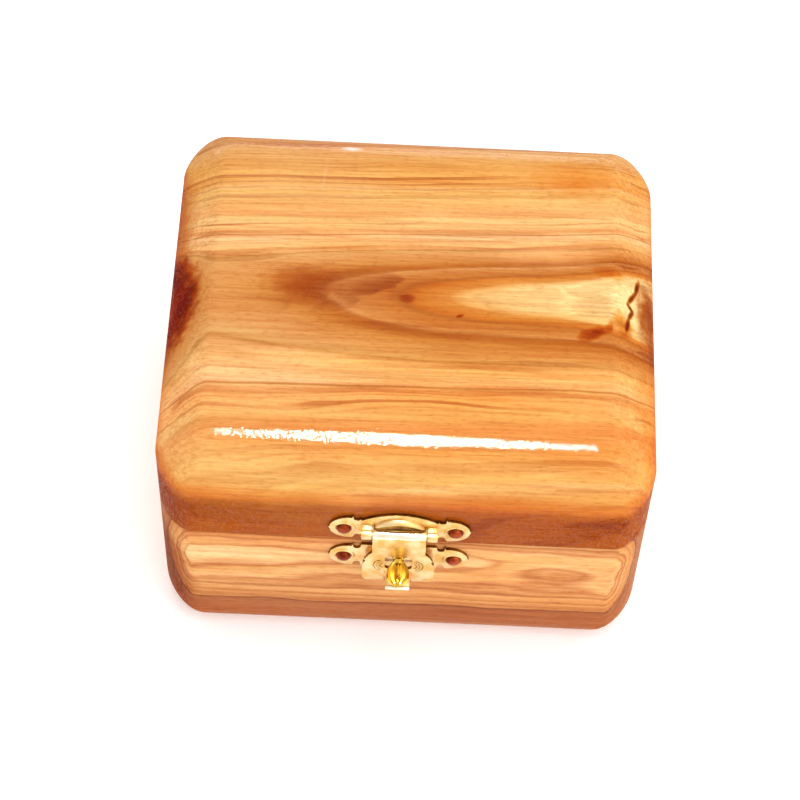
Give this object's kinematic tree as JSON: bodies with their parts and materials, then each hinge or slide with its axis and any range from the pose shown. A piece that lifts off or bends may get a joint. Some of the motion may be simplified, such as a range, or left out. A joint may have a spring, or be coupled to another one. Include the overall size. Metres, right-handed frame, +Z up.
{
  "type": "rosary box",
  "caption": "Small lidded wooden keepsake box for a rosary, milled from solid wood, with butt hinges at the back and a brass-plated swing hasp with a turn knob at the front.",
  "frame": {"origin": "centre of the bottom face that the box stands on", "axes": "+Z up, out of the lid's top; -Y out of the front, where the hasp is; +X to the right of someone who faces the hasp"},
  "size_m": [0.084, 0.0846, 0.052],
  "materials": {
    "olive_wood_base": "gloss varnish outside, bare and milled inside",
    "olive_wood_lid": "gloss varnish outside, bare and milled inside",
    "plated_hasp": "stamped steel sheet, bright brass plating",
    "plated_knob": "turned and pressed brass, bright",
    "copper_nails": "copper-washed steel, brown and dull",
    "hinge_brass": "rolled brass, lightly brushed",
    "hinge_pin_brass": "drawn brass wire with upset ends",
    "hinge_nails": "brass, flush heads"
  },
  "bodies": {
    "base": {"base_block": "olive_wood_base", "hasp_keeper_plate": "plated_hasp", "nail_lower_left": "copper_nails", "nail_lower_right": "copper_nails", "hinge_left_base_leaf": "hinge_brass", "hinge_left_pin": "hinge_pin_brass", "hinge_right_base_leaf": "hinge_brass", "hinge_right_pin": "hinge_pin_brass", "hinge_left_base_nail_outer": "hinge_nails", "hinge_left_base_nail_inner": "hinge_nails", "hinge_right_base_nail_outer": "hinge_nails", "hinge_right_base_nail_inner": "hinge_nails"},
    "lid": {"lid_block": "olive_wood_lid", "hasp_lid_plate": "plated_hasp", "hasp_flap_pin": "plated_hasp", "nail_upper_left": "copper_nails", "nail_upper_right": "copper_nails", "hinge_left_lid_leaf": "hinge_brass", "hinge_right_lid_leaf": "hinge_brass", "hinge_left_lid_nail_outer": "hinge_nails", "hinge_left_lid_nail_inner": "hinge_nails", "hinge_right_lid_nail_outer": "hinge_nails", "hinge_right_lid_nail_inner": "hinge_nails"},
    "flap": {"hasp_flap": "plated_hasp"},
    "knob": {"turn_knob": "plated_knob"}
  },
  "joints": [
    {"name": "lid_hinge", "type": "hinge", "parent": "base", "child": "lid", "pos_m": [0, 0.03865, 0.032], "axis": [-1, 0, 0], "range_deg": [0, 105]},
    {"name": "flap_hinge", "type": "hinge", "parent": "lid", "child": "flap", "pos_m": [-0.0005, -0.0392, 0.037], "axis": [-1, 0, 0], "range_deg": [0, 110]},
    {"name": "knob_turn", "type": "hinge", "parent": "base", "child": "knob", "pos_m": [-0.0005, -0.0415, 0.0299], "axis": [0, 1, 0], "range_deg": [0, 90]}
  ]
}
